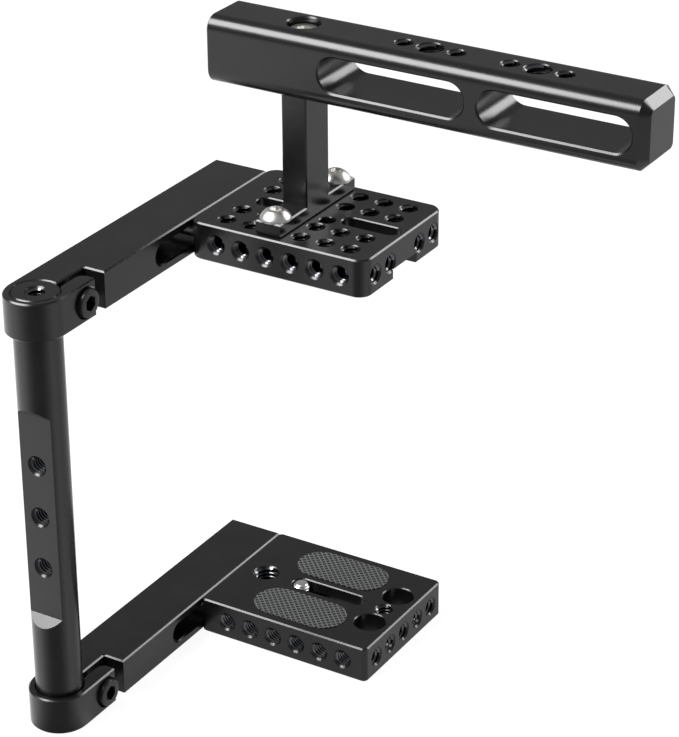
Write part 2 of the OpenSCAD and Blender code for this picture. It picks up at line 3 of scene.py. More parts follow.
import json
import logging
import math
from dataclasses import dataclass, field
from enum import Enum
from typing import Any, Protocol

import bpy
from mathutils import Matrix, Vector


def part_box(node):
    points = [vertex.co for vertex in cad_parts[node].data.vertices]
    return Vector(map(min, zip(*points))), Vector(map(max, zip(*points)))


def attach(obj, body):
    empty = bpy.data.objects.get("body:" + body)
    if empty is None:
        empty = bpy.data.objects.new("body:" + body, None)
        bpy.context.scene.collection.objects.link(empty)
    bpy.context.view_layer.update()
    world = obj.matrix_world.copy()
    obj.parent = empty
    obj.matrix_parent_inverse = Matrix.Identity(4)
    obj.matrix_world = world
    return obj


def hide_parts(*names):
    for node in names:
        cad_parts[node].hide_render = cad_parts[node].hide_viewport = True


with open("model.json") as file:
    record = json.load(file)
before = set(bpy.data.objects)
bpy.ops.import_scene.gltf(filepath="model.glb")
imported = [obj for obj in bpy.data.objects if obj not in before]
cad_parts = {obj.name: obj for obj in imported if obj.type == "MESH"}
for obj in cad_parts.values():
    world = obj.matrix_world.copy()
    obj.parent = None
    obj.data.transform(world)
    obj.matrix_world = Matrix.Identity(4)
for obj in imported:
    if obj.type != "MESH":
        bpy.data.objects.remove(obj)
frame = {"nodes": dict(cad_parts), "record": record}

log = logging.getLogger("camera_cage")

Colour = tuple[float, float, float, float]
Point = tuple[float, float, float]

MM = 0.001
WHITE: Colour = (1.0, 1.0, 1.0, 1.0)
# A screw's head keeps this far off its seat, so that it never cuts the face that it slides along
SEAT_GAP = 0.02 * MM
# A cutter stands this far out of the face that it cuts
CUT_OVERRUN = 1 * MM
# Points of a mesh that are closer than this become one
MERGE_DISTANCE = 0.001 * MM
# Faces that meet at a smaller angle than this are shaded as one round face
SMOOTH_ANGLE = math.radians(30)
# Blender's wave texture runs through this many radians in a unit of length, at a scale of one
WAVE_RADIANS = 20


def hex_linear(code: str) -> Colour:
    """Turn an sRGB hex value to a linear colour.

    Args:
        code: Six hex digits after a hash mark.

    Returns:
        Red, green, blue and an alpha of one.
    """
    shares = [int(code[i:i + 2], 16) / 255 for i in (1, 3, 5)]
    linear = [s / 12.92 if s <= 0.04045 else ((s + 0.055) / 1.055) ** 2.4 for s in shares]
    return (linear[0], linear[1], linear[2], 1.0)


def add_node(tree: bpy.types.NodeTree, kind: str, settings: dict[str, Any] | None = None,
             values: dict[str | int, Any] | None = None,
             links: dict[str | int, bpy.types.NodeSocket] | None = None) -> bpy.types.Node:
    """Add a shader node with its settings and links.

    Args:
        tree: Node tree that the node joins.
        kind: Blender's name of the node's type.
        settings: Properties of the node itself.
        values: Constants of its input sockets.
        links: Output sockets that feed its input sockets.

    Returns:
        The new node.
    """
    node = tree.nodes.new(kind)
    for name, value in (settings or {}).items():
        setattr(node, name, value)
    for name, value in (values or {}).items():
        node.inputs[name].default_value = value
    for name, source in (links or {}).items():
        tree.links.new(source, node.inputs[name])
    return node


def set_stops(ramp: bpy.types.ColorRamp, span: tuple[float, float], codes: tuple[str, str]) -> None:
    """Set the two stops of a colour ramp.

    Args:
        ramp: The ramp.
        span: Position of each stop.
        codes: Colour of each stop, as a hex value.
    """
    for stop, position, code in zip(ramp.elements, span, codes):
        stop.position = position
        stop.color = hex_linear(code)


def new_material(name: str) -> tuple[bpy.types.Material, bpy.types.NodeTree, bpy.types.Node]:
    """Make an empty material with its output node.

    Args:
        name: The material's common name.

    Returns:
        The material, its node tree and its output node.
    """
    material = bpy.data.materials.new(name)
    material.use_nodes = True
    tree = material.node_tree
    tree.nodes.clear()
    return material, tree, tree.nodes.new("ShaderNodeOutputMaterial")


class Finish(Protocol):
    """A finish, which makes its own material."""

    def build(self) -> bpy.types.Material:
        """Make the material."""


@dataclass(frozen=True)
class AnodisedAluminium:
    """Black anodised aluminium, bead blasted before its oxide layer was grown.

    The dyed oxide is almost black and clear on top, so the eye sees a satin gloss from the lamps and
    the floor over a very dark body, with the grit of the blasting as a fine tooth.
    """

    name: str = "anodised_aluminium_black"
    body: str = "#0d0d0e"
    worn: str = "#131314"
    tone_span: tuple[float, float] = (0.35, 0.75)
    metallic: float = 0.0
    ior: float = 1.5
    roughness: float = 0.25
    roughness_swing: float = 0.03
    # The grit is about 0.1 mm on the real part and is drawn coarser so that it shows
    grit_mm: float = 0.45
    grit_detail: float = 2.0
    grit_height_mm: float = 0.004
    grit_strength: float = 0.35
    mottle_mm: float = 9.0
    mottle_detail: float = 3.0

    def build(self) -> bpy.types.Material:
        """Make the material.

        Returns:
            The finished material.
        """
        material, tree, output = new_material(self.name)
        place = add_node(tree, "ShaderNodeTexCoord").outputs["Object"]
        grit = add_node(tree, "ShaderNodeTexNoise", links={"Vector": place},
                        values={"Scale": 1 / (self.grit_mm * MM), "Detail": self.grit_detail})
        mottle = add_node(tree, "ShaderNodeTexNoise", links={"Vector": place},
                          values={"Scale": 1 / (self.mottle_mm * MM), "Detail": self.mottle_detail})
        tone = add_node(tree, "ShaderNodeValToRGB", links={"Fac": mottle.outputs["Fac"]})
        set_stops(tone.color_ramp, self.tone_span, (self.body, self.worn))
        sheen = add_node(tree, "ShaderNodeMapRange", links={"Value": mottle.outputs["Fac"]},
                         values={"To Min": self.roughness - self.roughness_swing,
                                 "To Max": self.roughness + self.roughness_swing})
        tooth = add_node(tree, "ShaderNodeBump", links={"Height": grit.outputs["Fac"]},
                         values={"Strength": self.grit_strength, "Distance": self.grit_height_mm * MM})
        shader = add_node(tree, "ShaderNodeBsdfPrincipled",
                          values={"Metallic": self.metallic, "IOR": self.ior},
                          links={"Base Color": tone.outputs["Color"], "Roughness": sheen.outputs["Result"],
                                 "Normal": tooth.outputs["Normal"]})
        tree.links.new(shader.outputs["BSDF"], output.inputs["Surface"])
        return material


@dataclass(frozen=True)
class TurnedSteel:
    """Steel turned on a lathe, plain stainless or blackened by hot oxide.

    Bare stainless mirrors the lamps softly along its turning marks, and the black oxide keeps that
    gloss while its body goes dark.
    """

    name: str
    body: str
    metallic: float
    roughness: float
    roughness_swing: float = 0.05
    mark_mm: float = 0.25
    mark_detail: float = 3.0
    mark_height_mm: float = 0.003
    mark_strength: float = 0.3

    def build(self) -> bpy.types.Material:
        """Make the material.

        Returns:
            The finished material.
        """
        material, tree, output = new_material(self.name)
        place = add_node(tree, "ShaderNodeTexCoord").outputs["Object"]
        marks = add_node(tree, "ShaderNodeTexNoise", links={"Vector": place},
                         values={"Scale": 1 / (self.mark_mm * MM), "Detail": self.mark_detail})
        tooth = add_node(tree, "ShaderNodeBump", links={"Height": marks.outputs["Fac"]},
                         values={"Strength": self.mark_strength, "Distance": self.mark_height_mm * MM})
        sheen = add_node(tree, "ShaderNodeMapRange", links={"Value": marks.outputs["Fac"]},
                         values={"To Min": self.roughness - self.roughness_swing,
                                 "To Max": self.roughness + self.roughness_swing})
        shader = add_node(tree, "ShaderNodeBsdfPrincipled",
                          values={"Base Color": hex_linear(self.body), "Metallic": self.metallic},
                          links={"Roughness": sheen.outputs["Result"], "Normal": tooth.outputs["Normal"]})
        tree.links.new(shader.outputs["BSDF"], output.inputs["Surface"])
        return material


@dataclass(frozen=True)
class MouldedRubber:
    """Black rubber moulded against a woven cloth, so that its face carries a mesh of fine ridges.

    The ridges in two slanting directions are coloured a lighter grey, a painted highlight, and the pits
    between them keep the rubber's matt black.
    """

    name: str = "rubber_moulded_mesh"
    # Painted highlight: the ridges' lighter grey stands in for the light that they catch
    ridge: str = "#5c5d5d"
    pit: str = "#111112"
    tone_span: tuple[float, float] = (0.7, 0.95)
    pitch_mm: float = 1.7
    height_mm: float = 0.25
    relief_strength: float = 0.8
    roughness: float = 0.62
    lean: float = math.radians(45)

    def build(self) -> bpy.types.Material:
        """Make the material.

        Returns:
            The finished material.
        """
        material, tree, output = new_material(self.name)
        place = add_node(tree, "ShaderNodeTexCoord").outputs["Object"]
        scale = 2 * math.pi / (WAVE_RADIANS * self.pitch_mm * MM)
        waves = []
        for lean in (self.lean, -self.lean):
            leaning = add_node(tree, "ShaderNodeMapping", values={"Rotation": (0.0, 0.0, lean)},
                               links={"Vector": place})
            waves.append(add_node(tree, "ShaderNodeTexWave", settings={"bands_direction": "X"},
                                  values={"Scale": scale, "Distortion": 0.0},
                                  links={"Vector": leaning.outputs["Vector"]}))
        mesh = add_node(tree, "ShaderNodeMath", settings={"operation": "MAXIMUM"},
                        links={0: waves[0].outputs["Fac"], 1: waves[1].outputs["Fac"]})
        # The pattern paints the ridges lighter than the pits, a painted highlight on the ridges
        tone = add_node(tree, "ShaderNodeValToRGB", links={"Fac": mesh.outputs["Value"]})
        set_stops(tone.color_ramp, self.tone_span, (self.pit, self.ridge))
        relief = add_node(tree, "ShaderNodeBump", links={"Height": mesh.outputs["Value"]},
                          values={"Strength": self.relief_strength, "Distance": self.height_mm * MM})
        shader = add_node(tree, "ShaderNodeBsdfPrincipled", values={"Roughness": self.roughness},
                          links={"Base Color": tone.outputs["Color"], "Normal": relief.outputs["Normal"]})
        tree.links.new(shader.outputs["BSDF"], output.inputs["Surface"])
        return material


@dataclass(frozen=True)
class Nylon:
    """Natural nylon, moulded, with a milky and slightly waxy face."""

    name: str = "nylon_natural"
    body: str = "#ddd9cc"
    shade: str = "#cfcabb"
    tone_span: tuple[float, float] = (0.0, 1.0)
    cloud_mm: float = 3.0
    roughness: float = 0.4

    def build(self) -> bpy.types.Material:
        """Make the material.

        Returns:
            The finished material.
        """
        material, tree, output = new_material(self.name)
        place = add_node(tree, "ShaderNodeTexCoord").outputs["Object"]
        cloud = add_node(tree, "ShaderNodeTexNoise", values={"Scale": 1 / (self.cloud_mm * MM)},
                         links={"Vector": place})
        tone = add_node(tree, "ShaderNodeValToRGB", links={"Fac": cloud.outputs["Fac"]})
        set_stops(tone.color_ramp, self.tone_span, (self.shade, self.body))
        shader = add_node(tree, "ShaderNodeBsdfPrincipled", values={"Roughness": self.roughness},
                          links={"Base Color": tone.outputs["Color"]})
        tree.links.new(shader.outputs["BSDF"], output.inputs["Surface"])
        return material


class Slot(Enum):
    """Finish that each node of the cage carries, as the record names it."""

    ANODISED = "anodised"
    BLACK_STEEL = "black_steel"
    STAINLESS = "stainless"
    RUBBER = "rubber"
    NYLON = "nylon"


class Face(Enum):
    """Face that a hole opens in or a screw's head stands on, as the direction out of it."""

    UP = (0.0, 0.0, 1.0)
    DOWN = (0.0, 0.0, -1.0)
    LEFT = (-1.0, 0.0, 0.0)
    RIGHT = (1.0, 0.0, 0.0)
    FRONT = (0.0, -1.0, 0.0)
    REAR = (0.0, 1.0, 0.0)

    def out(self) -> Vector:
        """Give the direction as a vector."""
        return Vector(self.value)


def stance(place: Vector, out: Vector) -> Matrix:
    """Give the matrix that stands a thing made round the Z axis in its place.

    Args:
        place: Where the thing's origin goes.
        out: Where its Z axis points.

    Returns:
        The matrix.
    """
    turn = Vector((0.0, 0.0, 1.0)).rotation_difference(out).to_matrix().to_4x4()
    return Matrix.Translation(place) @ turn


def deselect_all() -> None:
    """Leave nothing selected and nothing active."""
    bpy.ops.object.select_all(action="DESELECT")
    bpy.context.view_layer.objects.active = None


def make_active(piece: bpy.types.Object) -> None:
    """Select one object alone and make it the active one.

    Args:
        piece: The object to work on.
    """
    deselect_all()
    piece.select_set(True)
    bpy.context.view_layer.objects.active = piece


def cover(piece: bpy.types.Object, material: bpy.types.Material) -> None:
    """Give an object one material all over.

    Args:
        piece: The object.
        material: Its material.
    """
    piece.data.materials.clear()
    piece.data.materials.append(material)


def joined(pieces: list[bpy.types.Object], name: str) -> bpy.types.Object:
    """Join objects into one.

    Args:
        pieces: The objects, which are used up.
        name: Name of the joined object and its mesh.

    Returns:
        The joined object.
    """
    deselect_all()
    for piece in pieces:
        piece.select_set(True)
    bpy.context.view_layer.objects.active = pieces[0]
    if len(pieces) > 1:
        bpy.ops.object.join()
    pieces[0].name = name
    pieces[0].data.name = name
    return pieces[0]


def turned(name: str, profile: list[tuple[float, float]], sides: int = 32) -> bpy.types.Object:
    """Turn a closed solid round the Z axis, as on a lathe.

    Args:
        name: Name of the new object.
        profile: Radius and height of each ring, from the lowest to the last.
        sides: Number of sides of each ring.

    Returns:
        The solid.
    """
    deselect_all()
    radius, level = profile[0]
    bpy.ops.mesh.primitive_circle_add(vertices=sides, radius=radius, fill_type="NGON",
                                      location=(0.0, 0.0, 0.0))
    piece = bpy.context.object
    piece.name = name
    bpy.ops.object.mode_set(mode="EDIT")
    bpy.ops.mesh.select_all(action="SELECT")
    bpy.ops.transform.translate(value=(0.0, 0.0, level))
    for next_radius, next_level in profile[1:]:
        bpy.ops.mesh.extrude_region_move(TRANSFORM_OT_translate={"value": (0.0, 0.0, next_level - level)})
        share = next_radius / radius
        bpy.ops.transform.resize(value=(share, share, 1.0), center_override=(0.0, 0.0, next_level))
        radius, level = next_radius, next_level
    bpy.ops.mesh.select_all(action="SELECT")
    bpy.ops.mesh.normals_make_consistent(inside=False)
    bpy.ops.object.mode_set(mode="OBJECT")
    bpy.ops.object.shade_smooth_by_angle(angle=SMOOTH_ANGLE)
    return piece


@dataclass(frozen=True)
class ThreadForm:
    """A screw thread as one ridge wound round an axis.

    Attributes:
        major_d: Diameter over the thread.
        pitch: Distance between neighbouring turns.
        steps: Straight pieces in a turn.
        crest_share: Width of the ridge's crest as a share of the pitch.
        height_share: Height of the ridge as a share of the pitch.
        bury: Depth that the ridge's root is sunk in the wall that carries it.
    """

    major_d: float
    pitch: float
    steps: int = 20
    crest_share: float = 0.16
    height_share: float = 0.52
    bury: float = 0.12 * MM

    def minor_radius(self) -> float:
        """Give the radius at the root of a screw's thread."""
        return self.major_d / 2 - self.height_share * self.pitch

    def outline(self, name: str, inward: bool) -> bpy.types.Object:
        """Draw the ridge's cross section where its first turn starts.

        Args:
            name: Name of the new object.
            inward: Whether the ridge points to the axis, as in a nut.

        Returns:
            The section, as four edges with no face.
        """
        side = -1 if inward else 1
        height = self.height_share * self.pitch
        root = self.major_d / 2 - side * self.bury - (0.0 if inward else height)
        tip = root + side * (height + self.bury)
        middle = (tip + root) / 2
        deselect_all()
        bpy.ops.mesh.primitive_plane_add(size=1.0, location=(0.0, 0.0, 0.0),
                                         rotation=(math.pi / 2, 0.0, 0.0))
        piece = bpy.context.object
        piece.name = name
        bpy.ops.object.transform_apply(location=False, rotation=True, scale=False)
        bpy.ops.object.mode_set(mode="EDIT")
        bpy.ops.mesh.select_all(action="SELECT")
        bpy.ops.transform.resize(value=(abs(tip - root), 1.0, self.pitch))
        bpy.ops.transform.translate(value=(middle, 0.0, -self.pitch / 2))
        bpy.ops.mesh.delete(type="ONLY_FACE")
        bpy.ops.mesh.select_all(action="DESELECT")
        bpy.ops.object.mode_set(mode="OBJECT")
        for vertex in piece.data.vertices:
            vertex.select = (vertex.co.x - middle) * side > 0
        bpy.ops.object.mode_set(mode="EDIT")
        bpy.ops.transform.resize(value=(1.0, 1.0, self.crest_share),
                                 center_override=(tip, 0.0, -self.pitch / 2))
        bpy.ops.object.mode_set(mode="OBJECT")
        return piece

    def ridge(self, name: str, length: float, inward: bool) -> bpy.types.Object:
        """Wind the ridge down from z = 0 for a length.

        Args:
            name: Name of the new object.
            length: Length of the threaded stretch.
            inward: Whether the ridge points to the axis, as in a nut.

        Returns:
            The ridge as a closed mesh.
        """
        piece = self.outline(name, inward)
        wind = piece.modifiers.new("wind", "SCREW")
        wind.axis = "Z"
        wind.angle = 2 * math.pi
        wind.screw_offset = -self.pitch
        wind.iterations = max(1, math.floor(length / self.pitch) - 1)
        wind.steps = self.steps
        wind.render_steps = self.steps
        wind.use_smooth_shade = False
        make_active(piece)
        bpy.ops.object.modifier_apply(modifier=wind.name)
        bpy.ops.object.mode_set(mode="EDIT")
        bpy.ops.mesh.select_all(action="SELECT")
        bpy.ops.mesh.remove_doubles(threshold=MERGE_DISTANCE)
        bpy.ops.mesh.fill_holes(sides=4)
        bpy.ops.mesh.select_all(action="SELECT")
        bpy.ops.mesh.normals_make_consistent(inside=False)
        bpy.ops.object.mode_set(mode="OBJECT")
        bpy.ops.object.shade_smooth_by_angle(angle=SMOOTH_ANGLE)
        return piece


@dataclass(frozen=True)
class TappedHole:
    """Place of a tapped hole.

    Attributes:
        mouth: Middle of the hole's mouth.
        face: Face that the hole opens in.
        depth: Length of its thread.
        chamfer: Chamfer of its mouth.
        start_share: Depth at which the thread starts, as a share of the chamfer.
    """

    mouth: Point
    face: Face
    depth: float
    chamfer: float
    start_share: float = 0.6

    def stance(self) -> Matrix:
        """Give the matrix that stands a thread, wound down from the origin, in this hole."""
        out = self.face.out()
        return stance(Vector(self.mouth) - out * self.chamfer * self.start_share, out)


@dataclass
class ThreadSet:
    """The threads of all tapped holes of one size in one piece of the frame."""

    name: str
    body: str
    form: ThreadForm
    holes: list[TappedHole]

    def build(self, material: bpy.types.Material) -> bpy.types.Object:
        """Model one thread, copy it into every hole and join the copies.

        Args:
            material: Finish of the threads.

        Returns:
            The joined threads.
        """
        patterns: dict[float, bpy.types.Object] = {}
        copies = []
        for number, hole in enumerate(self.holes):
            if hole.depth not in patterns:
                patterns[hole.depth] = self.form.ridge(f"{self.name}_pattern", hole.depth, inward=True)
            mesh = patterns[hole.depth].data.copy()
            mesh.transform(hole.stance())
            copy = bpy.data.objects.new(f"{self.name}_{number}", mesh)
            bpy.context.scene.collection.objects.link(copy)
            copies.append(copy)
        for pattern in patterns.values():
            bpy.data.objects.remove(pattern)
        piece = joined(copies, self.name)
        cover(piece, material)
        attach(piece, self.body)
        log.info("%s: %d holes, %d faces", self.name, len(self.holes), len(piece.data.polygons))
        return piece


@dataclass(frozen=True)
class TapSizes:
    """Threads, mouths and pitch that the tapped holes of the whole cage share."""

    hole_pitch: float = 10 * MM
    quarter: ThreadForm = ThreadForm(major_d=6.35 * MM, pitch=1.27 * MM)
    quarter_side: ThreadForm = ThreadForm(major_d=6.2 * MM, pitch=1.27 * MM)
    three_eighths: ThreadForm = ThreadForm(major_d=9.525 * MM, pitch=1.5875 * MM)
    face_chamfer: float = 0.35 * MM
    side_chamfer: float = 0.7 * MM


@dataclass
class TappedPart:
    """A piece of the frame whose tapped holes get wound threads.

    Attributes:
        body: Name of the body that it rides on.
        taps: Sizes that all tapped holes share.
        low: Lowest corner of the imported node's box.
        high: Highest corner of that box.
        middle: Middle of that box.
    """

    body: str
    taps: TapSizes = TapSizes()
    low: Vector = field(init=False)
    high: Vector = field(init=False)
    middle: Vector = field(init=False)

    def measure(self, low: Vector, high: Vector) -> None:
        """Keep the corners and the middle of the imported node's box.

        Args:
            low: Its lowest corner.
            high: Its highest corner.
        """
        self.low, self.high = low, high
        self.middle = (low + high) / 2

    def upright(self, x: float, y: float, depth: float) -> TappedHole:
        """Place a hole that opens in the top face.

        Args:
            x: Place of its axis from side to side.
            y: Place of its axis from front to rear.
            depth: Length of its thread.

        Returns:
            The hole.
        """
        return TappedHole((x, y, self.high.z), Face.UP, depth, self.taps.face_chamfer)

    def thread_sets(self) -> list[ThreadSet]:
        """List the threads of the piece."""
        raise NotImplementedError

    def build(self, material: bpy.types.Material) -> None:
        """Build and dress the threads of the piece.

        Args:
            material: Finish of the threads.
        """
        for thread_set in self.thread_sets():
            thread_set.build(material)


@dataclass
class Plate(TappedPart):
    """A plate with lines of tapped holes in both sides and a row of them in its front.

    Attributes:
        hole_inset: Distance of the first line of holes from the plate's rear face.
        line_count: Number of lines, each one pitch ahead of the last.
        side_depth: Length of the threads in the sides.
        front_depth: Length of the threads in the front.
    """

    hole_inset: float = 11.5 * MM
    line_count: int = 6
    side_depth: float = 8 * MM
    front_depth: float = 7.6 * MM

    def through_depth(self) -> float:
        """Give the length of a thread that goes through the plate."""
        return self.high.z - self.low.z - self.taps.face_chamfer

    def line_places(self) -> list[float]:
        """Give the y of every line of holes."""
        first = self.high.y - self.hole_inset
        return [first - line * self.taps.hole_pitch for line in range(self.line_count)]

    def side_holes(self) -> list[TappedHole]:
        """List the holes in the left and the right side, line by line."""
        sides = ((self.low.x, Face.LEFT), (self.high.x, Face.RIGHT))
        return [TappedHole((x, y, self.middle.z), face, self.side_depth, self.taps.side_chamfer)
                for y in self.line_places() for x, face in sides]

    def front_hole(self, step: int, depth: float) -> TappedHole:
        """Place a hole in the front face.

        Args:
            step: Number of pitches from the plate's middle.
            depth: Length of its thread.

        Returns:
            The hole.
        """
        x = self.middle.x + step * self.taps.hole_pitch
        return TappedHole((x, self.low.y, self.middle.z), Face.FRONT, depth, self.taps.side_chamfer)


@dataclass
class TopPlate(Plate):
    """The top plate, with four rows of upright holes, each over a hole in its front.

    Attributes:
        row_steps: Place of each row, in pitches from the plate's middle.
    """

    body: str = "top_plate"
    side_depth: float = 5 * MM
    row_steps: tuple[int, ...] = (-2, -1, 1, 2)

    def __post_init__(self) -> None:
        """Read the box of the top plate."""
        low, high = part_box("top_plate")
        self.measure(low, high)

    def thread_sets(self) -> list[ThreadSet]:
        """List the threads of the top plate.

        Returns:
            The upright ones, and those in the sides and the front.
        """
        rows = [self.middle.x + step * self.taps.hole_pitch for step in self.row_steps]
        upright = [self.upright(x, y, self.through_depth()) for x in rows for y in self.line_places()]
        front = [self.front_hole(step, self.front_depth) for step in self.row_steps]
        return [ThreadSet("top_plate_upright_threads", self.body, self.taps.quarter, upright),
                ThreadSet("top_plate_side_threads", self.body, self.taps.quarter_side,
                          self.side_holes() + front)]


@dataclass
class BasePlate(Plate):
    """The base plate, with holes in its sides and front, and two upright ones.

    Attributes:
        front_steps: Places of the holes in its front, in pitches from the plate's middle.
        short_front_steps: Those of them that run into the two plain bores.
        short_front_depth: Length of the thread in front of a plain bore.
        quarter_inset: Distance of the small upright hole from the front face.
    """

    body: str = "base_plate"
    front_steps: tuple[int, ...] = (-2, -1, 0, 1, 2)
    short_front_steps: tuple[int, ...] = (-1, 1)
    short_front_depth: float = 4 * MM
    quarter_inset: float = 8.5 * MM

    def __post_init__(self) -> None:
        """Read the box of the base plate."""
        low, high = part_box("base_plate")
        self.measure(low, high)

    def thread_sets(self) -> list[ThreadSet]:
        """List the threads of the base plate.

        Returns:
            Those in the sides and the front, the small upright one and the large upright one.
        """
        front = [self.front_hole(step, self.short_front_depth if step in self.short_front_steps
                                 else self.front_depth) for step in self.front_steps]
        small = self.upright(self.middle.x, self.low.y + self.quarter_inset, self.through_depth())
        large = self.upright(self.middle.x, self.line_places()[0], self.through_depth())
        return [ThreadSet("base_plate_side_threads", self.body, self.taps.quarter_side,
                          self.side_holes() + front),
                ThreadSet("base_plate_quarter_thread", self.body, self.taps.quarter, [small]),
                ThreadSet("base_plate_large_thread", self.body, self.taps.three_eighths, [large])]


@dataclass
class SideRod(TappedPart):
    """The side rod, with three holes in its flat and one in each end.

    Attributes:
        flat_depth: Depth of the flat under the rod's round face.
        flat_rise: Height of the flat's middle over the rod's middle.
        flat_pitch: Distance between the holes in the flat.
        flat_steps: Place of each of them, in pitches from the flat's middle.
        flat_hole_depth: Length of the threads in the flat.
        end_hole_depth: Length of the threads in the ends.
    """

    body: str = "rod"
    flat_depth: float = 3.4 * MM
    flat_rise: float = 0.4 * MM
    flat_pitch: float = 20 * MM
    flat_steps: tuple[int, ...] = (-1, 0, 1)
    flat_hole_depth: float = 8 * MM
    end_hole_depth: float = 13 * MM

    def __post_init__(self) -> None:
        """Read the box of the rod."""
        low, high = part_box("rod")
        self.measure(low, high)

    def thread_sets(self) -> list[ThreadSet]:
        """List the threads of the rod.

        Returns:
            One set, with the flat's holes first.
        """
        chamfer, flat_x = self.taps.side_chamfer, self.low.x + self.flat_depth
        flat_middle = self.middle.z + self.flat_rise
        holes = [TappedHole((flat_x, 0.0, flat_middle + step * self.flat_pitch), Face.LEFT,
                            self.flat_hole_depth, chamfer) for step in self.flat_steps]
        holes += [TappedHole((0.0, 0.0, z), face, self.end_hole_depth, chamfer)
                  for z, face in ((self.high.z, Face.UP), (self.low.z, Face.DOWN))]
        return [ThreadSet("rod_threads", self.body, self.taps.quarter, holes)]


@dataclass
class HandleGrip(TappedPart):
    """The grip, with two large holes on top and a small one behind and ahead of each.

    Attributes:
        post_inset: Distance of the post's axis from the grip's rear end.
        hole_start: Distance of the first large hole from the post's axis.
        hole_spacing: Distance between the large holes.
        thread_depth: Length of the threads, down to the finger slots.
    """

    body: str = "top_plate"
    post_inset: float = 32 * MM
    hole_start: float = 49 * MM
    hole_spacing: float = 40 * MM
    thread_depth: float = 5.2 * MM

    def __post_init__(self) -> None:
        """Read the box of the grip."""
        low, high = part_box("handle_grip")
        self.measure(low, high)

    def thread_sets(self) -> list[ThreadSet]:
        """List the threads of the grip.

        Returns:
            The large ones and the small ones.
        """
        first = self.high.y - self.post_inset - self.hole_start
        large_ys = [first, first - self.hole_spacing]
        small_ys = [y + side * self.taps.hole_pitch for y in large_ys for side in (-1, 1)]
        large = [self.upright(self.middle.x, y, self.thread_depth) for y in large_ys]
        small = [self.upright(self.middle.x, y, self.thread_depth) for y in small_ys]
        return [ThreadSet("grip_large_threads", self.body, self.taps.three_eighths, large),
                ThreadSet("grip_quarter_threads", self.body, self.taps.quarter, small)]


class HeadForm(Enum):
    """Kind of a screw's head."""

    CYLINDER = "cylinder"
    BUTTON = "button"


class ToolForm(Enum):
    """Kind of the hollow that a tool turns a screw by."""

    HEX = "hex"
    COIN_SLOT = "coin_slot"


@dataclass(frozen=True)
class Head:
    """Head of a screw, seated at z = 0.

    Attributes:
        form: Kind of the head.
        diameter: Diameter of the head.
        height: Height of the head.
        tool_width: Width of the socket across its flats, or of the slot.
        tool_depth: Depth of the socket or slot.
        tool: Kind of the hollow.
        edge: Size of a cylinder head's rounded edge.
        edge_shares: How far the rounding has come in and still has to rise at each ring, in edge sizes.
        rim: Height of a button head's straight rim.
        flat_share: Radius of a button's flat top as a share of the socket's width.
        dome_steps: Number of bands between a button's rim and its flat top.
    """

    form: HeadForm
    diameter: float
    height: float
    tool_width: float
    tool_depth: float
    tool: ToolForm = ToolForm.HEX
    edge: float = 0.5 * MM
    edge_shares: tuple[tuple[float, float], ...] = ((0.0, 1.0), (0.15, 0.45), (0.45, 0.15), (1.0, 0.0))
    rim: float = 0.7 * MM
    flat_share: float = 0.66
    dome_steps: int = 8

    def cylinder_rings(self) -> list[tuple[float, float]]:
        """List the rings of a cylinder head, a straight side with a rounded edge.

        Returns:
            The radius and the height of each ring.
        """
        radius = self.diameter / 2
        foot = [(radius - self.edge / 2, SEAT_GAP), (radius, self.edge / 2)]
        return foot + [(radius - inward * self.edge, self.height - below * self.edge)
                       for inward, below in self.edge_shares]

    def button_rings(self) -> list[tuple[float, float]]:
        """List the rings of a button head, a part of a ball that runs from the rim to a small flat.

        Returns:
            The radius and the height of each ring.
        """
        radius, flat = self.diameter / 2, self.tool_width * self.flat_share
        square_gap = radius ** 2 + self.rim ** 2 - flat ** 2 - self.height ** 2
        centre = square_gap / (2 * (self.rim - self.height))
        ball = math.hypot(radius, self.rim - centre)
        low, high = math.asin(radius / ball), math.asin(flat / ball)
        turns = [low + (high - low) * step / self.dome_steps for step in range(self.dome_steps + 1)]
        return [(radius, SEAT_GAP)] + [(ball * math.sin(turn), centre + ball * math.cos(turn))
                                       for turn in turns]

    def rings(self) -> list[tuple[float, float]]:
        """List the rings of the head over its seat, as radius and height."""
        return self.cylinder_rings() if self.form is HeadForm.CYLINDER else self.button_rings()

    def cutter(self) -> bpy.types.Object:
        """Make the solid that cuts the socket or slot.

        Returns:
            The cutter, in its place on the head.
        """
        deselect_all()
        depth = self.tool_depth + CUT_OVERRUN
        middle = (0.0, 0.0, self.height - self.tool_depth / 2 + CUT_OVERRUN / 2)
        if self.tool is ToolForm.COIN_SLOT:
            bpy.ops.mesh.primitive_cube_add(size=1.0, location=middle,
                                            scale=(2 * self.diameter, self.tool_width, depth))
        else:
            bpy.ops.mesh.primitive_cylinder_add(vertices=6, radius=self.tool_width / math.sqrt(3),
                                                depth=depth, location=middle)
        return bpy.context.object


